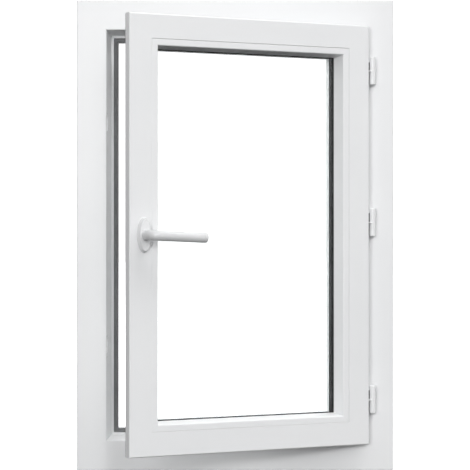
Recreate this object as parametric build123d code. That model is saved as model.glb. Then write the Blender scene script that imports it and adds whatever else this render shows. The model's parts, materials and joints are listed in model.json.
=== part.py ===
"""Single-sash PVC casement window, hinged on the right and standing open into the room.

Millimetres. +Z is up, the room is on the -Y side, and the hinges are on the +X side.
The origin is the centre of the sill's underside. The sash is drawn shut, then swung open.
"""

import math
import os

from build123d import *

# Outer frame
FRAME_WIDTH = 640.0
FRAME_HEIGHT = 950.0
FRAME_DEPTH = 70.0
FRAME_FACE = 60.0
STOP_REACH = 21.5
STOP_DEPTH = 22.5
STOP_SLOPE = 4.0
REBATE_SLOPE = 7.0
FRAME_EDGE_RADIUS = 2.0
REBATE_RADIUS = 1.0
MITRE_SPARE = 1.0
ANCHOR_GROOVE_WIDTH = 9.0
ANCHOR_GROOVE_DEPTH = 4.0
ANCHOR_GROOVE_OFFSET = 14.0

# Sash
SASH_OVERLAP = 5.0
SASH_STAND = 20.5
SASH_DEPTH = 63.0
SASH_FACE = 47.0
LIP_REACH = 23.0
LIP_THICKNESS = 18.0
SASH_EDGE_RADIUS = 2.5
SASH_BACK_RADIUS = 2.5
GLAZING_LEG_RISE = 1.0
GLAZING_LEG_DEPTH = 10.5
GLAZING_LEG_SLOPE = 1.5
OPEN_ANGLE = 28.0

# Hardware groove round the sash
GROOVE_OUTER_WIDTH = 16.0
GROOVE_OUTER_DEPTH = 3.0
GROOVE_INNER_WIDTH = 12.0
GROOVE_INNER_DEPTH = 9.0
GROOVE_FROM_LIP = 4.0

# Glazing
BEAD_GAP = 0.3
BEAD_RECESS = 0.6
BEAD_FACE = 12.8
BEAD_DEPTH = 31.0
BEAD_SLOPE = 4.6
BEAD_EDGE_RADIUS = 2.6
BEAD_OUTER_RADIUS = 0.6
GLASS_EDGE = 52.0
PANE_THICKNESS = 4.0
PANE_SPACE = 10.0
GLAZING_GASKET = 2.0
SPACER_WIDTH = 9.0
SPACER_INSET = 4.0

# Seals
SEAL_ROUNDING = 0.4
SEAL_PROUD = 1.0
SEAL_SUNK = 0.7
FRAME_SEAL_START = 72.6
FRAME_SEAL_WIDTH = 8.5
FRAME_SEAL_HEIGHT = 4.7
LIP_SEAL_START = 1.0
LIP_SEAL_WIDTH = 3.8
LIP_SEAL_HEIGHT = 3.2

# Hinges
HINGE_AXIS_GAP = 12.0
HINGE_AXIS_STAND = 14.0
HINGE_FROM_END = 89.5
HINGE_MIDDLE_SHARE = 0.531
BARREL_RADIUS = 6.2
BARREL_EDGE_RADIUS = 1.6
LOWER_BARREL = 26.5
UPPER_BARREL = 27.5
COLLAR_HEIGHT = 2.0
COLLAR_RADIUS = 6.6
COLLAR_TAB = 10.0
PIN_RADIUS = 3.5
PIN_CLEARANCE = 0.05
PIN_RISE = 20.0
FOOT_WIDTH = 9.0
FOOT_PLATE_WIDTH = 13.0
FOOT_PLATE = 3.0
ARM_THICKNESS = 3.0
ARM_STAND = 4.2
ARM_HEIGHT = 8.0
PACKER_THICKNESS = 1.2
PACKER_CLEARANCE = 1.0

# Lock hardware
LOCK_STRIP_FROM_END = 110.0
LOCK_STRIP_THICKNESS = 2.6
CAM_FROM_STRIP_END = 85.0
CAM_RADIUS = 5.0
CAM_HEAD_RADIUS = 6.5
CAM_STEM = 5.0
CAM_HEAD = 2.5
KEEP_LENGTH = 46.0
KEEP_WIDTH = 14.0
KEEP_DEPTH = 3.0
KEEP_GAP = 0.25
KEEP_SLOT = 28.0

# Handle
HANDLE_FROM_EDGE = 29.6
ROSETTE_WIDTH = 28.0
ROSETTE_HEIGHT = 66.0
ROSETTE_RIM = 3.0
ROSETTE_RISE = 10.0
ROSETTE_TAPER = 2.6
ROSETTE_EDGE_RADIUS = 1.6
LEVER_HEIGHT = 20.0
LEVER_THICKNESS = 18.0
LEVER_STAND = 45.0
LEVER_BEND = 13.0
LEVER_LENGTH = 112.0
LEVER_END_CAP = 9.0
LEVER_END_RADIUS = 4.5
LEVER_DROOP = 2.4
LEVER_GAP = 0.3

# Drainage
DRAIN_FROM_END = 170.0
DRAIN_LENGTH = 30.0
DRAIN_HEIGHT = 5.0
DRAIN_DEPTH = 12.0
DRAIN_FROM_STOP = 8.0
DRAIN_OUTLET_HEIGHT = 40.0

FRONT = -FRAME_DEPTH / 2
BACK = FRAME_DEPTH / 2
STOP_FACE = BACK - STOP_DEPTH
SASH_FRONT = FRONT - SASH_STAND
SASH_BACK = SASH_FRONT + SASH_DEPTH
LIP_BACK = SASH_FRONT + LIP_THICKNESS
SASH_WIDTH = FRAME_WIDTH - 2 * (FRAME_FACE - SASH_OVERLAP)
SASH_HEIGHT = FRAME_HEIGHT - 2 * (FRAME_FACE - SASH_OVERLAP)
SASH_BOTTOM = FRAME_FACE - SASH_OVERLAP
SASH_TOP = SASH_BOTTOM + SASH_HEIGHT
SASH_EDGE = SASH_WIDTH / 2
HINGE_AXIS_X = SASH_EDGE + HINGE_AXIS_GAP
HINGE_AXIS_Y = FRONT - HINGE_AXIS_STAND
HINGE_CENTRES = {
    "bottom": SASH_BOTTOM + HINGE_FROM_END,
    "middle": SASH_BOTTOM + SASH_HEIGHT * HINGE_MIDDLE_SHARE,
    "top": SASH_TOP - HINGE_FROM_END,
}
BEAD_FRONT = SASH_FRONT + BEAD_RECESS
BEAD_BACK = SASH_FRONT + BEAD_DEPTH
GLASS_FRONT = BEAD_BACK + GLAZING_GASKET
GLASS_BACK = GLASS_FRONT + 2 * PANE_THICKNESS + PANE_SPACE
LEG_FACE = SASH_BACK - GLAZING_LEG_DEPTH
OUTER_GASKET = LEG_FACE - GLASS_BACK
BEAD_REACH = SASH_FACE + BEAD_GAP + BEAD_FACE + BEAD_SLOPE
GLAZING_LEG_REACH = BEAD_REACH + GLAZING_LEG_RISE
LEVER_Y = SASH_FRONT - LEVER_STAND
HANDLE_X = -SASH_EDGE + HANDLE_FROM_EDGE
HANDLE_HEIGHT = FRAME_HEIGHT / 2
LOCK_STRIP_ENDS = (SASH_BOTTOM + LOCK_STRIP_FROM_END, SASH_TOP - LOCK_STRIP_FROM_END)
CAM_HEIGHTS = (LOCK_STRIP_ENDS[0] + CAM_FROM_STRIP_END, LOCK_STRIP_ENDS[1] - CAM_FROM_STRIP_END)
DRAIN_OFFSET = FRAME_WIDTH / 2 - DRAIN_FROM_END


def rounded_face(corners):
    """A flat face from (inward, depth, radius) corners, with each corner rounded by its radius."""
    points = [Vector(inward, -depth) for inward, depth, _ in corners]
    starts, ends, middles = [], [], []
    for i, (_, _, radius) in enumerate(corners):
        corner = points[i]
        if radius == 0:
            starts.append(corner)
            ends.append(corner)
            middles.append(None)
            continue
        to_last = (points[i - 1] - corner).normalized()
        to_next = (points[(i + 1) % len(points)] - corner).normalized()
        half = math.acos(to_last.dot(to_next)) / 2
        inwards = (to_last + to_next).normalized()
        starts.append(corner + to_last * (radius / math.tan(half)))
        ends.append(corner + to_next * (radius / math.tan(half)))
        middles.append(corner + inwards * (radius / math.sin(half) - radius))
    edges = []
    for i, middle in enumerate(middles):
        if middle is not None:
            edges.append(ThreePointArc(starts[i], middle, ends[i]))
        edges.append(Line(ends[i], starts[(i + 1) % len(points)]))
    return make_face(edges)


def mitred_bars(corners, width, height, bottom):
    """Four bars of one profile round a rectangle, cut at 45 degrees, by the side they make."""
    left, right, top = -width / 2, width / 2, bottom + height
    reach = max(inward for inward, _, _ in corners) + MITRE_SPARE
    runs = {
        "bottom": (Plane((left, 0, bottom), (0, 0, 1), (1, 0, 0)), width),
        "right": (Plane((right, 0, bottom), (-1, 0, 0), (0, 0, 1)), height),
        "top": (Plane((right, 0, top), (0, 0, -1), (-1, 0, 0)), width),
        "left": (Plane((left, 0, top), (1, 0, 0), (0, 0, -1)), height),
    }
    outer = [(left, bottom), (right, bottom), (right, top), (left, top)]
    inner = [
        (left + reach, bottom + reach),
        (right - reach, bottom + reach),
        (right - reach, top - reach),
        (left + reach, top - reach),
    ]
    face = rounded_face(corners)
    bars = {}
    for i, (side, (plane, length)) in enumerate(runs.items()):
        after = (i + 1) % len(outer)
        mitre = Polyline(outer[i], outer[after], inner[after], inner[i], close=True)
        wedge = extrude(make_face(Plane.XZ * mitre), amount=2 * FRAME_DEPTH, both=True)
        bars[side] = extrude(plane * face, amount=length, dir=plane.z_dir) & wedge
    return bars


def ring(corners, width, height, bottom):
    """The four bars of one profile, joined into one seal."""
    bars = mitred_bars(corners, width, height, bottom)
    return bars["bottom"] + bars["right"] + bars["top"] + bars["left"]


def block(x_range, y_range, z_range):
    """A plain block between the given limits."""
    size = [high - low for low, high in (x_range, y_range, z_range)]
    centre = [(high + low) / 2 for low, high in (x_range, y_range, z_range)]
    return Pos(*centre) * Box(*size)


def upright(x, y, bottom, radius, height):
    """A vertical cylinder standing on the given height."""
    return Pos(x, y, bottom + height / 2) * Cylinder(radius, height)


def swing(piece):
    """The shut piece, turned open about the hinge pins."""
    to_axis = Pos(HINGE_AXIS_X, HINGE_AXIS_Y, 0)
    return to_axis * Rot(0, 0, OPEN_ANGLE) * to_axis.inverse() * piece


def frame_corners():
    """The frame's profile: face, sloping rebate, stop, and grooves outside for the wall foam."""
    groove = []
    for centre in (ANCHOR_GROOVE_OFFSET, -ANCHOR_GROOVE_OFFSET):
        far, near = centre + ANCHOR_GROOVE_WIDTH / 2, centre - ANCHOR_GROOVE_WIDTH / 2
        groove += [(0, far, 0), (ANCHOR_GROOVE_DEPTH, far, 0), (ANCHOR_GROOVE_DEPTH, near, 0), (0, near, 0)]
    reach = FRAME_FACE + STOP_REACH
    return [
        (0, FRONT, FRAME_EDGE_RADIUS),
        (FRAME_FACE, FRONT, FRAME_EDGE_RADIUS),
        (FRAME_FACE + REBATE_SLOPE, STOP_FACE, REBATE_RADIUS),
        (reach, STOP_FACE, REBATE_RADIUS),
        (reach, BACK - STOP_SLOPE, REBATE_RADIUS),
        (reach - STOP_SLOPE, BACK, REBATE_RADIUS),
        (0, BACK, REBATE_RADIUS),
        *groove,
    ]


def sash_corners():
    """The sash's profile: overlapping lip, hardware groove, glazing rebate and glazing leg."""
    floor = LIP_REACH + GROOVE_OUTER_DEPTH
    deep = LIP_REACH + GROOVE_INNER_DEPTH
    near = LIP_BACK + GROOVE_FROM_LIP
    step = (GROOVE_OUTER_WIDTH - GROOVE_INNER_WIDTH) / 2
    far = near + GROOVE_OUTER_WIDTH
    return [
        (0, SASH_FRONT, SASH_EDGE_RADIUS),
        (SASH_FACE, SASH_FRONT, BEAD_OUTER_RADIUS),
        (SASH_FACE, LEG_FACE, 0),
        (GLAZING_LEG_REACH, LEG_FACE, 0),
        (GLAZING_LEG_REACH, SASH_BACK - GLAZING_LEG_SLOPE, REBATE_RADIUS),
        (GLAZING_LEG_REACH - GLAZING_LEG_SLOPE, SASH_BACK, REBATE_RADIUS),
        (LIP_REACH, SASH_BACK, SASH_BACK_RADIUS),
        (LIP_REACH, far, 0),
        (floor, far, 0),
        (floor, far - step, 0),
        (deep, far - step, 0),
        (deep, near + step, 0),
        (floor, near + step, 0),
        (floor, near, 0),
        (LIP_REACH, near, 0),
        (LIP_REACH, LIP_BACK, REBATE_RADIUS),
        (0, LIP_BACK, REBATE_RADIUS),
    ]


def bead_corners():
    """The glazing bead's profile: flat face, rounded edge, and a slope down to the glass."""
    start = SASH_FACE + BEAD_GAP
    return [
        (start, BEAD_FRONT, BEAD_OUTER_RADIUS),
        (start + BEAD_FACE, BEAD_FRONT, BEAD_EDGE_RADIUS),
        (BEAD_REACH, BEAD_BACK, BEAD_OUTER_RADIUS),
        (start, BEAD_BACK, 0),
    ]


def seal_corners(start, width, base, height):
    """A seal's profile on a base plane, with the free side rounded; a negative height faces the room."""
    radius = min(width, abs(height)) * SEAL_ROUNDING
    return [
        (start, base, 0),
        (start + width, base, 0),
        (start + width, base + height, radius),
        (start, base + height, radius),
    ]


def glass_pane(front):
    """One pane of the double glazing, with its room face at the given depth."""
    half = SASH_EDGE - GLASS_EDGE
    heights = (SASH_BOTTOM + GLASS_EDGE, SASH_TOP - GLASS_EDGE)
    return block((-half, half), (front, front + PANE_THICKNESS), heights)


def frame_sill(bar):
    """The sill bar with its drain slots and their outlets."""
    inlet = STOP_FACE - DRAIN_FROM_STOP
    for x in (-DRAIN_OFFSET, DRAIN_OFFSET):
        along = (x - DRAIN_LENGTH / 2, x + DRAIN_LENGTH / 2)
        inlet_height = (FRAME_FACE - DRAIN_DEPTH, FRAME_FACE + DRAIN_DEPTH)
        bar -= block(along, (inlet, inlet + DRAIN_HEIGHT), inlet_height)
        outlet = (DRAIN_OUTLET_HEIGHT, DRAIN_OUTLET_HEIGHT + DRAIN_HEIGHT)
        bar -= block(along, (BACK - DRAIN_DEPTH, BACK + DRAIN_DEPTH), outlet)
    return bar


def hinge_frame_half(centre):
    """The hinge's lower barrel with its pin, on a foot that stands on the packer."""
    bottom = centre - (LOWER_BARREL + COLLAR_HEIGHT + UPPER_BARREL) / 2
    barrel = upright(HINGE_AXIS_X, HINGE_AXIS_Y, bottom, BARREL_RADIUS, LOWER_BARREL)
    barrel = fillet(barrel.edges().group_by(Axis.Z)[0], BARREL_EDGE_RADIUS)
    pin = upright(HINGE_AXIS_X, HINGE_AXIS_Y, bottom, PIN_RADIUS, LOWER_BARREL + PIN_RISE)
    heights = (bottom + BARREL_EDGE_RADIUS, bottom + LOWER_BARREL)
    half = FOOT_WIDTH / 2
    seat = FRONT - PACKER_THICKNESS
    foot = block((HINGE_AXIS_X - half, HINGE_AXIS_X + half), (HINGE_AXIS_Y, seat), heights)
    half = FOOT_PLATE_WIDTH / 2
    plate = block((HINGE_AXIS_X - half, HINGE_AXIS_X + half), (seat - FOOT_PLATE, seat), heights)
    return barrel + pin + foot + plate


def hinge_sash_half(centre):
    """The hinge's upper barrel with its collar, on an arm fixed to the sash's edge."""
    bottom = centre - (LOWER_BARREL + COLLAR_HEIGHT + UPPER_BARREL) / 2 + LOWER_BARREL
    collar = upright(HINGE_AXIS_X, HINGE_AXIS_Y, bottom, COLLAR_RADIUS, COLLAR_HEIGHT)
    tab_y = (HINGE_AXIS_Y - COLLAR_TAB / 2, HINGE_AXIS_Y + COLLAR_TAB / 2)
    tab = block((SASH_EDGE, HINGE_AXIS_X), tab_y, (bottom, bottom + COLLAR_HEIGHT))
    start = bottom + COLLAR_HEIGHT
    barrel = upright(HINGE_AXIS_X, HINGE_AXIS_Y, start, BARREL_RADIUS, UPPER_BARREL)
    barrel = fillet(barrel.edges().group_by(Axis.Z)[-1], BARREL_EDGE_RADIUS)
    arm_y = (HINGE_AXIS_Y + ARM_STAND - ARM_THICKNESS / 2, HINGE_AXIS_Y + ARM_STAND + ARM_THICKNESS / 2)
    arm_top = start + UPPER_BARREL - BARREL_EDGE_RADIUS
    arm = block((SASH_EDGE, HINGE_AXIS_X), arm_y, (arm_top - ARM_HEIGHT, arm_top))
    bore = upright(HINGE_AXIS_X, HINGE_AXIS_Y, bottom, PIN_RADIUS + PIN_CLEARANCE, PIN_RISE + PIN_CLEARANCE)
    return collar + tab + barrel + arm - bore


def hinge_packer(centre):
    """The dark plastic packer between the hinge's foot and the frame's face."""
    half = (LOWER_BARREL + COLLAR_HEIGHT + UPPER_BARREL) / 2
    across = (SASH_EDGE + PACKER_CLEARANCE, HINGE_AXIS_X + FOOT_PLATE_WIDTH / 2)
    heights = (centre - half + BARREL_EDGE_RADIUS, centre + half - BARREL_EDGE_RADIUS - ARM_HEIGHT)
    return block(across, (FRONT - PACKER_THICKNESS, FRONT), heights)


def lock_strip():
    """The lock's strip in the sash's groove, with the mushroom cams that grip the keeps."""
    face = -SASH_EDGE + LIP_REACH + GROOVE_OUTER_DEPTH
    middle = LIP_BACK + GROOVE_FROM_LIP + GROOVE_OUTER_WIDTH / 2
    half = GROOVE_OUTER_WIDTH / 2 - BEAD_GAP
    strip = block((face - LOCK_STRIP_THICKNESS, face), (middle - half, middle + half), LOCK_STRIP_ENDS)
    outer = face - LOCK_STRIP_THICKNESS
    for height in CAM_HEIGHTS:
        stem = Pos(outer - CAM_STEM / 2, middle, height) * Rot(0, 90, 0) * Cylinder(CAM_RADIUS, CAM_STEM)
        head_x = outer - CAM_STEM - CAM_HEAD / 2
        head = Pos(head_x, middle, height) * Rot(0, 90, 0) * Cylinder(CAM_HEAD_RADIUS, CAM_HEAD)
        strip += stem + head
    return strip


def keeps(jamb):
    """The lock jamb with its pockets, and the keeps in them: flush plates, slotted for the cams."""
    face = -FRAME_WIDTH / 2 + FRAME_FACE
    middle = LIP_BACK + GROOVE_FROM_LIP + GROOVE_OUTER_WIDTH / 2
    across = (face - KEEP_DEPTH, face + REBATE_SLOPE)
    plates = []
    for height in CAM_HEIGHTS:
        deep, tall = KEEP_WIDTH / 2, KEEP_LENGTH / 2
        pocket = block(across, (middle - deep, middle + deep), (height - tall, height + tall))
        deep, tall = deep - KEEP_GAP, tall - KEEP_GAP
        plate = jamb & block(across, (middle - deep, middle + deep), (height - tall, height + tall))
        deep, tall = CAM_RADIUS, KEEP_SLOT / 2
        slot = block((face, across[1]), (middle - deep, middle + deep), (height - tall, height + tall))
        plates.append(plate - slot)
        jamb -= pocket
    return jamb, plates


def handle_rosette():
    """The oval rosette: an upright rim, then a domed taper to the face."""
    base = Plane((HANDLE_X, SASH_FRONT, HANDLE_HEIGHT), (1, 0, 0), (0, -1, 0))
    outline = Ellipse(ROSETTE_WIDTH / 2, ROSETTE_HEIGHT / 2)
    crown = Ellipse(ROSETTE_WIDTH / 2 - ROSETTE_TAPER, ROSETTE_HEIGHT / 2 - ROSETTE_TAPER)
    rim = extrude(base * outline, amount=ROSETTE_RIM, dir=base.z_dir)
    dome = loft([base.offset(ROSETTE_RIM) * outline.face(), base.offset(ROSETTE_RISE) * crown.face()])
    rosette = rim + dome
    return fillet(rosette.edges().group_by(Axis.Y)[0], ROSETTE_EDGE_RADIUS)


def droop(piece):
    """The handle's lever, hanging a little below level about its own axis."""
    to_axis = Pos(HANDLE_X, 0, HANDLE_HEIGHT)
    return to_axis * Rot(0, LEVER_DROOP, 0) * to_axis.inverse() * piece


def lever_parts():
    """The round neck that bends into the lever, and the cap on the lever's end."""
    start = SASH_FRONT - ROSETTE_RISE
    tip = HANDLE_X + LEVER_LENGTH
    joint = tip - LEVER_END_CAP
    neck = Line((HANDLE_X, start, HANDLE_HEIGHT), (HANDLE_X, LEVER_Y + LEVER_BEND, HANDLE_HEIGHT))
    bend_end = Vector(HANDLE_X + LEVER_BEND, LEVER_Y, HANDLE_HEIGHT)
    short = LEVER_BEND * (1 - math.sqrt(0.5))
    bend = ThreePointArc(neck @ 1, (HANDLE_X + short, LEVER_Y + short, HANDLE_HEIGHT), bend_end)
    arm = Line(bend_end, (joint, LEVER_Y, HANDLE_HEIGHT))
    section = Plane(neck @ 0, (1, 0, 0), (0, -1, 0)) * Ellipse(LEVER_THICKNESS / 2, LEVER_HEIGHT / 2)
    lever = sweep(section, path=Wire([neck.edge(), bend.edge(), arm.edge()]))
    cap_plane = Plane((joint + LEVER_GAP, LEVER_Y, HANDLE_HEIGHT), (0, 1, 0), (1, 0, 0))
    cap_face = cap_plane * Ellipse(LEVER_THICKNESS / 2, LEVER_HEIGHT / 2)
    cap = extrude(cap_face, amount=LEVER_END_CAP - LEVER_GAP, dir=cap_plane.z_dir)
    cap = fillet(cap.edges().group_by(Axis.X)[-1], LEVER_END_RADIUS)
    return droop(lever), droop(cap)


def build():
    """Every piece of the window, by name."""
    parts = {}
    bars = mitred_bars(frame_corners(), FRAME_WIDTH, FRAME_HEIGHT, 0)
    parts["frame_head"] = bars["top"]
    parts["frame_sill"] = frame_sill(bars["bottom"])
    parts["frame_lock_jamb"], plates = keeps(bars["left"])
    parts["frame_hinge_jamb"] = bars["right"]
    seal = seal_corners(FRAME_SEAL_START, FRAME_SEAL_WIDTH, STOP_FACE, -FRAME_SEAL_HEIGHT)
    parts["frame_seal"] = ring(seal, FRAME_WIDTH, FRAME_HEIGHT, 0)
    parts["keep_lower"], parts["keep_upper"] = plates

    shut = {}
    size = (SASH_WIDTH, SASH_HEIGHT, SASH_BOTTOM)
    bars = mitred_bars(sash_corners(), *size)
    shut["sash_top_rail"] = bars["top"]
    shut["sash_bottom_rail"] = bars["bottom"]
    shut["sash_lock_stile"] = bars["left"]
    shut["sash_hinge_stile"] = bars["right"]
    beads = mitred_bars(bead_corners(), *size)
    shut["bead_top"] = beads["top"]
    shut["bead_bottom"] = beads["bottom"]
    shut["bead_lock_side"] = beads["left"]
    shut["bead_hinge_side"] = beads["right"]
    shut["pane_inner"] = glass_pane(GLASS_FRONT)
    shut["pane_outer"] = glass_pane(GLASS_BACK - PANE_THICKNESS)
    spacer_start = GLASS_EDGE + SPACER_INSET
    spacer = [
        (spacer_start, GLASS_FRONT + PANE_THICKNESS, 0),
        (spacer_start + SPACER_WIDTH, GLASS_FRONT + PANE_THICKNESS, 0),
        (spacer_start + SPACER_WIDTH, GLASS_BACK - PANE_THICKNESS, 0),
        (spacer_start, GLASS_BACK - PANE_THICKNESS, 0),
    ]
    shut["glass_spacer"] = ring(spacer, *size)
    gasket_start = BEAD_REACH - BEAD_SLOPE
    inner = seal_corners(gasket_start, BEAD_SLOPE + SEAL_PROUD, GLASS_FRONT, -GLAZING_GASKET)
    shut["glazing_gasket_inner"] = ring(inner, *size)
    gasket_start = GLAZING_LEG_REACH - BEAD_SLOPE - SEAL_SUNK
    outer = seal_corners(gasket_start, BEAD_SLOPE, LEG_FACE, -OUTER_GASKET)
    shut["glazing_gasket_outer"] = ring(outer, *size)
    lip_seal = seal_corners(LIP_SEAL_START, LIP_SEAL_WIDTH, LIP_BACK, LIP_SEAL_HEIGHT)
    shut["sash_lip_seal"] = ring(lip_seal, *size)
    shut["lock_strip"] = lock_strip()
    shut["handle_rosette"] = handle_rosette()
    shut["handle_lever"], shut["handle_end_cap"] = lever_parts()
    for name, centre in HINGE_CENTRES.items():
        parts[f"hinge_{name}_packer"] = hinge_packer(centre)
        parts[f"hinge_{name}_frame_half"] = hinge_frame_half(centre)
        shut[f"hinge_{name}_sash_half"] = hinge_sash_half(centre)
    for name, piece in shut.items():
        parts[name] = swing(piece)
    return parts


os.makedirs("parts", exist_ok=True)
for node, solid in build().items():
    export_step(solid, f"parts/{node}.step")
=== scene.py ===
"""Looks of the casement window: materials, screws, a white studio and the camera."""

import json
import math

import bmesh
import bpy
from mathutils import Matrix, Vector


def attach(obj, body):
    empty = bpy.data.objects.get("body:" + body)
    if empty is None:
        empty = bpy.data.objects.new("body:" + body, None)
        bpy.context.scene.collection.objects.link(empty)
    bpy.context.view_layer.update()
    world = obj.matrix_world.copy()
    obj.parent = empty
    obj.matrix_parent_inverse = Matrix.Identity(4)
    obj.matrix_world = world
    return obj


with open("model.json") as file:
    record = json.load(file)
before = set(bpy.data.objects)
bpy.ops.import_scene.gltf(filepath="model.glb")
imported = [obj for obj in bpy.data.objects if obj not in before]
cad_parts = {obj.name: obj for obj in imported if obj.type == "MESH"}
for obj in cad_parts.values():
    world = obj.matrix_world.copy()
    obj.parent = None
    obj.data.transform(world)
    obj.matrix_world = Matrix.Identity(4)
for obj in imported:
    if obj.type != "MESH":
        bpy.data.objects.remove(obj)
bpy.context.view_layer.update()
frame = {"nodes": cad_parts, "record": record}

# Camera: straight on to the frame, with the focal length given in the picture's 470 pixels.
IMAGE_SIDE = 470
FOCAL_PIXELS = 1955.0
SENSOR_MM = 36.0
CAMERA_AT = (0.0, -3.985, 0.4754)
CAMERA_REACH = 100.0

# The window's own measures, in metres: where the mitres run and how the sash stands open.
CENTRE_HEIGHT = 0.475
FRAME_HALF = (0.32, 0.475)
SASH_HALF = (0.265, 0.42)
HINGE_AXIS = (0.277, -0.049, 0.0)
OPEN_ANGLE = math.radians(28.0)

# Screws: on the shut sash's lock strip, and on the keeps in the frame's sloping rebate.
STRIP_FACE = (-0.2416, -0.0255)
STRIP_NORMAL = (-1.0, 0.0, 0.0)
STRIP_SCREWS = (0.185, 0.32, 0.43, 0.52, 0.63, 0.765)
KEEP_FACE = (-0.2586, -0.0255)
KEEP_NORMAL = (0.989, -0.146, 0.0)
KEEP_HEIGHTS = (0.25, 0.7)
KEEP_SCREW_REACH = 0.0184
SCREW_RADIUS = 0.0032
SCREW_RISE = 0.0004
SCREW_CROWN = 4
SCREW_SKIRT = 0.0006
SCREW_CROSS = 0.7
SCREW_SLOT = 0.0004
SCREW_RECESS = 0.0012
SCREW_RINGS = 12
SCREW_SPOKES = 48
MERGE_WITHIN = 1e-6

# Studio: backdrop and floor look white to the camera, and give the part less light than that.
# Each light has its azimuth and elevation in degrees, and its watts.
WHITE = (1.0, 1.0, 1.0, 1.0)
BACKDROP_WHITE = 1.25
AMBIENT = 0.45
MIRRORED = 0.15
AIM_AT = Vector((0.0, 0.0, CENTRE_HEIGHT))
SUN_WAY = (-0.2, 1.0, -0.28)
SUN_STRENGTH = 0.55
SUN_ANGLE = math.radians(8.0)
LIGHT_SIZE = 4.0
LIGHT_DISTANCE = 10.0
LIGHTS = {
    "fill_front": (-15.0, 5.0, 335.0),
    "fill_high": (45.0, 65.0, 200.0),
    "fill_side": (75.0, 45.0, 160.0),
    "key_front": (15.0, 25.0, 85.0),
    "fill_low": (60.0, 5.0, 55.0),
    "back_high": (175.0, 45.0, 230.0),
    "back_side": (225.0, 20.0, 100.0),
}
FLOOR_SIDE = 60.0
FLOOR_DROP = 0.0005
FLOOR_GLOW = 1.25
FLOOR_WHITE = 0.82
FLOOR_BOUNCE = 0.03
FLOOR_ROUGHNESS = 0.9

# Colours: each finish drifts between a darker and a lighter one.
PVC = ((0.86, 0.868, 0.878), (0.885, 0.891, 0.898))
SEAL_GREY = ((0.11, 0.112, 0.115), (0.15, 0.152, 0.155))
SEAL_BLACK = ((0.012, 0.012, 0.013), (0.022, 0.022, 0.023))
# The glazing spacer's own black, also worn by the hinge packers: black pieces behind the hinge barrels
# that give painted shade in the gap beside each barrel.
SPACER_AND_GAP_SHADE_BLACK = ((0.014, 0.014, 0.015), (0.024, 0.024, 0.026))
ENAMEL = ((0.865, 0.872, 0.88), (0.885, 0.891, 0.898))
HANDLE_WHITE = ((0.755, 0.762, 0.77), (0.78, 0.786, 0.793))
ZINC = ((0.5, 0.51, 0.52), (0.64, 0.65, 0.66))
GLASS_TINT = ((0.975, 0.99, 0.986), (0.985, 0.995, 0.992))

# Noise: scale and detail. Relief: strength, and depth in metres. Seams: width in metres, and shade.
EVEN = (1.0, 1.0, 1.0)
BAR_DRIFT = (5.0, 2.0)
BAR_LINES = (220.0, 3.0)
BAR_GRAIN = (1400.0, 2.0)
BAR_STRETCH = 0.01
BAR_GLOSS = (0.3, 0.42)
BAR_RELIEF = (0.12, 0.0001)
LINE_HEIGHT = 0.5
GRAIN_HEIGHT = 0.25
SEAM_DEPTH = 1.5
WELD = (0.0004, 0.96)
MITRE = (0.0003, 0.85)
FINE_DRIFT = (12.0, 3.0)
FINE_DETAIL = 3.0
FINE_DEPTH = 0.0002
BRUSHED = (1.0, 1.0, 0.02)
USUAL_SPECULAR = 0.5
MATTE_SPECULAR = 0.1
GLASS_IOR = 1.5
GLASS_WAVES = (2.5, 1.0)
GLASS_RELIEF = (0.02, 0.001)


def node_tree(name):
    """A new material, with its nodes, links and shader."""
    material = bpy.data.materials.new(name)
    material.use_nodes = True
    nodes = material.node_tree.nodes
    return material, nodes, material.node_tree.links, nodes["Principled BSDF"]


def math_node(nodes, links, operation, first, second=None):
    """One sum on one or two numbers; each is a socket or a plain value."""
    node = nodes.new("ShaderNodeMath")
    node.operation = operation
    for place, value in enumerate((first, second)):
        if isinstance(value, (int, float)):
            node.inputs[place].default_value = value
        elif value is not None:
            links.new(value, node.inputs[place])
    return node.outputs["Value"]


def part_coords(nodes, links, swung):
    """The part's own coordinates, with the open sash turned back to shut."""
    coords = nodes.new("ShaderNodeTexCoord").outputs["Object"]
    if not swung:
        return coords
    turn = nodes.new("ShaderNodeVectorRotate")
    turn.rotation_type = "Z_AXIS"
    turn.inputs["Center"].default_value = HINGE_AXIS
    turn.inputs["Angle"].default_value = -OPEN_ANGLE
    links.new(coords, turn.inputs["Vector"])
    return turn.outputs["Vector"]


def noise(nodes, links, coords, scale, detail, stretch=EVEN):
    """A noise texture, drawn out by the given scales."""
    mapping = nodes.new("ShaderNodeMapping")
    mapping.inputs["Scale"].default_value = stretch
    texture = nodes.new("ShaderNodeTexNoise")
    texture.inputs["Scale"].default_value = scale
    texture.inputs["Detail"].default_value = detail
    links.new(coords, mapping.inputs["Vector"])
    links.new(mapping.outputs["Vector"], texture.inputs["Vector"])
    return texture.outputs["Fac"]


def ramp(nodes, links, factor, low, high, start=0.3, stop=0.7):
    """A smooth blend from one colour to another."""
    blend = nodes.new("ShaderNodeValToRGB")
    blend.color_ramp.elements[0].position = start
    blend.color_ramp.elements[1].position = stop
    blend.color_ramp.elements[0].color = (*low, 1.0)
    blend.color_ramp.elements[1].color = (*high, 1.0)
    links.new(factor, blend.inputs["Fac"])
    return blend.outputs["Color"]


def spread(nodes, links, factor, low, high, start=0.0, stop=1.0):
    """A number that follows another between two limits."""
    between = nodes.new("ShaderNodeMapRange")
    between.inputs["From Min"].default_value = start
    between.inputs["From Max"].default_value = stop
    between.inputs["To Min"].default_value = low
    between.inputs["To Max"].default_value = high
    links.new(factor, between.inputs["Value"])
    return between.outputs["Result"]


def bump(nodes, links, shader, height, strength, distance):
    """Fine relief on a shader."""
    relief = nodes.new("ShaderNodeBump")
    relief.inputs["Strength"].default_value = strength
    relief.inputs["Distance"].default_value = distance
    links.new(height, relief.inputs["Height"])
    links.new(relief.outputs["Normal"], shader.inputs["Normal"])


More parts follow.
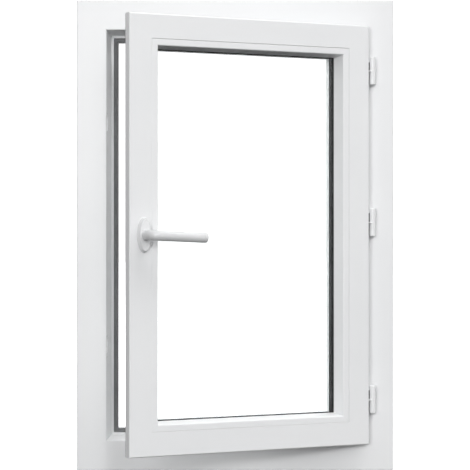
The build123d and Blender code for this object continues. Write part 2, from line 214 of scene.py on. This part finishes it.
def mitre_mask(nodes, links, coords, half, width):
    """One on the corner joints of a rectangle of bars, falling to nothing over the given width."""
    split = nodes.new("ShaderNodeSeparateXYZ")
    links.new(coords, split.inputs["Vector"])
    across = math_node(nodes, links, "ABSOLUTE", split.outputs["X"])
    up = math_node(nodes, links, "SUBTRACT", split.outputs["Z"], CENTRE_HEIGHT)
    up = math_node(nodes, links, "ABSOLUTE", up)
    off = math_node(nodes, links, "SUBTRACT", across, up)
    off = math_node(nodes, links, "SUBTRACT", off, half[0] - half[1])
    return spread(nodes, links, math_node(nodes, links, "ABSOLUTE", off), 1.0, 0.0, 0.0, width)


def profile(name, half, swung, upright, seam_width, seam_shade):
    """White extruded plastic: faint draw lines along the bar, a fine grain, and a seam at each mitre."""
    material, nodes, links, shader = node_tree(name)
    coords = part_coords(nodes, links, swung)
    along = (1.0, 1.0, BAR_STRETCH) if upright else (BAR_STRETCH, 1.0, 1.0)
    drift = noise(nodes, links, coords, *BAR_DRIFT)
    colour = ramp(nodes, links, drift, *PVC)
    seam = mitre_mask(nodes, links, coords, half, seam_width)
    shade = nodes.new("ShaderNodeMixRGB")
    shade.blend_type = "MULTIPLY"
    shade.inputs["Color2"].default_value = (seam_shade, seam_shade, seam_shade, 1.0)
    links.new(seam, shade.inputs["Fac"])
    links.new(colour, shade.inputs["Color1"])
    links.new(shade.outputs["Color"], shader.inputs["Base Color"])
    lines = noise(nodes, links, coords, *BAR_LINES, along)
    links.new(spread(nodes, links, lines, *BAR_GLOSS), shader.inputs["Roughness"])
    grain = noise(nodes, links, coords, *BAR_GRAIN)
    height = math_node(nodes, links, "MULTIPLY", lines, LINE_HEIGHT)
    speck = math_node(nodes, links, "MULTIPLY", grain, GRAIN_HEIGHT)
    height = math_node(nodes, links, "ADD", height, speck)
    groove = math_node(nodes, links, "MULTIPLY", seam, SEAM_DEPTH)
    height = math_node(nodes, links, "SUBTRACT", height, groove)
    bump(nodes, links, shader, height, *BAR_RELIEF)
    return material


def surface(name, colours, roughness, grain, relief, stretch=EVEN, metallic=0.0, swung=False,
            specular=USUAL_SPECULAR):
    """A solid material: colour and roughness drift over it, with a fine grain."""
    material, nodes, links, shader = node_tree(name)
    coords = part_coords(nodes, links, swung)
    drift = noise(nodes, links, coords, *FINE_DRIFT)
    links.new(ramp(nodes, links, drift, *colours), shader.inputs["Base Color"])
    fine = noise(nodes, links, coords, grain, FINE_DETAIL, stretch)
    links.new(spread(nodes, links, fine, *roughness), shader.inputs["Roughness"])
    shader.inputs["Metallic"].default_value = metallic
    shader.inputs["Specular IOR Level"].default_value = specular
    bump(nodes, links, shader, fine, relief, FINE_DEPTH)
    return material


def glass(name):
    """Clear float glass with the slight waviness of a real pane."""
    material, nodes, links, shader = node_tree(name)
    coords = part_coords(nodes, links, True)
    shader.inputs["Transmission Weight"].default_value = 1.0
    shader.inputs["IOR"].default_value = GLASS_IOR
    shader.inputs["Roughness"].default_value = 0.0
    waves = noise(nodes, links, coords, *GLASS_WAVES)
    links.new(ramp(nodes, links, waves, *GLASS_TINT), shader.inputs["Base Color"])
    bump(nodes, links, shader, waves, *GLASS_RELIEF)
    return material


BARS = {}
for family, half, swung, seam in (
    ("frame", FRAME_HALF, False, WELD),
    ("sash", SASH_HALF, True, WELD),
    ("bead", SASH_HALF, True, MITRE),
):
    for way in ("upright", "level"):
        bar = family + "_" + way
        BARS[bar] = profile("pvc_" + bar, half, swung, way == "upright", *seam)
LEVEL_ENDINGS = ("head", "sill", "rail", "top", "bottom")

FINISHES = {
    "seal": surface("grey_rubber", SEAL_GREY, roughness=(0.6, 0.8), grain=500.0, relief=0.25),
    "glazing_seal": surface("black_rubber", SEAL_BLACK, roughness=(0.5, 0.7), grain=500.0, relief=0.2,
                            specular=MATTE_SPECULAR),
    # Black for the glazing spacer, and painted shade for the hinge packers in the gap beside each hinge
    # barrel.
    "spacer": surface("black_plastic_and_gap_shade", SPACER_AND_GAP_SHADE_BLACK, roughness=(0.4, 0.55), grain=300.0, relief=0.1,
                      specular=MATTE_SPECULAR),
    "glass": glass("clear_glass"),
    "hinge": surface("white_hinge_enamel", ENAMEL, roughness=(0.24, 0.32), grain=400.0, relief=0.05),
    "handle": surface("white_handle_enamel", HANDLE_WHITE, roughness=(0.1, 0.16), grain=400.0,
                      relief=0.04),
    "lock_steel": surface("zinc_steel", ZINC, roughness=(0.28, 0.45), grain=60.0, relief=0.1,
                          stretch=BRUSHED, metallic=1.0, swung=True),
}


def finish_of(node, slot):
    """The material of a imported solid, by its slot and, for a bar, by the way it runs."""
    if slot not in ("pvc", "bead_pvc"):
        return FINISHES[slot]
    way = "level" if node.endswith(LEVEL_ENDINGS) else "upright"
    return BARS[node.split("_")[0] + "_" + way]


slot_of = {entry["node"]: entry["material_slot"] for entry in frame["record"]["subparts"]}
for name, piece in frame["nodes"].items():
    for place in piece.material_slots:
        place.material = finish_of(name, slot_of[name])
    if slot_of[name] == "glass":
        piece.visible_shadow = False


def screw_heads(name, seats, slot):
    """Crowned screw heads with a cross recess, each on its seat and facing along the seat's normal."""
    build = bmesh.new()
    for seat, normal in seats:
        turn = Vector(normal).to_track_quat("Z", "Y").to_matrix().to_4x4()
        place = Matrix.Translation(seat) @ turn
        rings = []
        # The last ring is the skirt, which goes down into the seat.
        for step in range(SCREW_RINGS + 2):
            share = min(step / SCREW_RINGS, 1.0)
            reach = SCREW_RADIUS * share
            ring = []
            for spoke in range(SCREW_SPOKES):
                angle = 2 * math.pi * spoke / SCREW_SPOKES
                x, y = reach * math.cos(angle), reach * math.sin(angle)
                rise = SCREW_RISE * (1 - share ** SCREW_CROWN)
                if share < SCREW_CROSS and min(abs(x), abs(y)) < SCREW_SLOT:
                    rise -= SCREW_RECESS
                if step > SCREW_RINGS:
                    rise -= SCREW_SKIRT
                ring.append(build.verts.new(place @ Vector((x, y, rise))))
            rings.append(ring)
        for inner, outer in zip(rings, rings[1:]):
            for i in range(SCREW_SPOKES):
                after = (i + 1) % SCREW_SPOKES
                build.faces.new((inner[i], outer[i], outer[after], inner[after]))
    bmesh.ops.remove_doubles(build, verts=build.verts, dist=MERGE_WITHIN)
    mesh = bpy.data.meshes.new(name)
    build.to_mesh(mesh)
    build.free()
    mesh.materials.append(FINISHES[slot])
    heads = bpy.data.objects.new(name, mesh)
    bpy.context.collection.objects.link(heads)
    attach(heads, "root")


axis = Vector(HINGE_AXIS)
swing = Matrix.Rotation(OPEN_ANGLE, 3, "Z")
strip_normal = swing @ Vector(STRIP_NORMAL)
strip_seats = [axis + swing @ (Vector((*STRIP_FACE, height)) - axis) for height in STRIP_SCREWS]
screw_heads("lock_strip_screws", [(seat, strip_normal) for seat in strip_seats], "lock_steel")
keep_seats = []
for height in KEEP_HEIGHTS:
    for reach in (-KEEP_SCREW_REACH, KEEP_SCREW_REACH):
        keep_seats.append((Vector((*KEEP_FACE, height + reach)), KEEP_NORMAL))
screw_heads("keep_screws", keep_seats, "hinge")


def seen(nodes, links, path):
    """One for a ray that comes straight or through glass from the camera, nothing for any other."""
    bounces = math_node(nodes, links, "ADD", path["Diffuse Depth"], path["Glossy Depth"])
    through = math_node(nodes, links, "SUBTRACT", path["Is Transmission Ray"], bounces)
    return math_node(nodes, links, "MAXIMUM", path["Is Camera Ray"], through)


def studio():
    """The white room: a world and a floor that look white, and the lights."""
    world = bpy.data.worlds.new("studio")
    bpy.context.scene.world = world
    world.use_nodes = True
    nodes, links = world.node_tree.nodes, world.node_tree.links
    backdrop = nodes["Background"]
    backdrop.inputs["Color"].default_value = WHITE
    path = nodes.new("ShaderNodeLightPath").outputs
    strength = nodes.new("ShaderNodeMix")
    links.new(seen(nodes, links, path), strength.inputs["Factor"])
    links.new(spread(nodes, links, path["Glossy Depth"], AMBIENT, MIRRORED), strength.inputs["A"])
    strength.inputs["B"].default_value = BACKDROP_WHITE
    links.new(strength.outputs["Result"], backdrop.inputs["Strength"])

    material, nodes, links, shader = node_tree("studio_floor")
    shader.inputs["Roughness"].default_value = FLOOR_ROUGHNESS
    shader.inputs["Specular IOR Level"].default_value = 0.0
    shader.inputs["Emission Color"].default_value = WHITE
    sight = seen(nodes, links, nodes.new("ShaderNodeLightPath").outputs)
    white = ramp(nodes, links, sight, [FLOOR_BOUNCE] * 3, [FLOOR_WHITE] * 3, 0.0, 1.0)
    links.new(white, shader.inputs["Base Color"])
    links.new(spread(nodes, links, sight, 0.0, FLOOR_GLOW), shader.inputs["Emission Strength"])
    bpy.ops.mesh.primitive_plane_add(size=FLOOR_SIDE, location=(0.0, 0.0, -FLOOR_DROP))
    floor = bpy.context.object
    floor.name = "studio_floor"
    floor.data.materials.append(material)

    sun = bpy.data.lights.new("sun", "SUN")
    sun.energy = SUN_STRENGTH
    sun.angle = SUN_ANGLE
    lamp = bpy.data.objects.new("sun", sun)
    lamp.rotation_euler = Vector(SUN_WAY).to_track_quat("-Z", "Y").to_euler()
    bpy.context.collection.objects.link(lamp)
    for name, (azimuth, elevation, watts) in LIGHTS.items():
        data = bpy.data.lights.new(name, "AREA")
        data.shape = "DISK"
        data.size = LIGHT_SIZE
        data.energy = watts
        turn, lift = math.radians(azimuth), math.radians(elevation)
        level = math.cos(lift)
        way = Vector((math.sin(turn) * level, -math.cos(turn) * level, math.sin(lift)))
        lamp = bpy.data.objects.new(name, data)
        lamp.location = AIM_AT + way * LIGHT_DISTANCE
        lamp.rotation_euler = (-way).to_track_quat("-Z", "Y").to_euler()
        lamp.visible_camera = False
        bpy.context.collection.objects.link(lamp)


def camera():
    """The photograph's viewpoint."""
    data = bpy.data.cameras.new("camera")
    data.sensor_width = SENSOR_MM
    data.lens = SENSOR_MM * FOCAL_PIXELS / IMAGE_SIDE
    data.clip_end = CAMERA_REACH
    eye = bpy.data.objects.new("camera", data)
    eye.location = CAMERA_AT
    eye.rotation_euler = (math.radians(90.0), 0.0, 0.0)
    bpy.context.collection.objects.link(eye)
    bpy.context.scene.camera = eye


studio()
camera()
bpy.context.scene.view_settings.view_transform = "Standard"
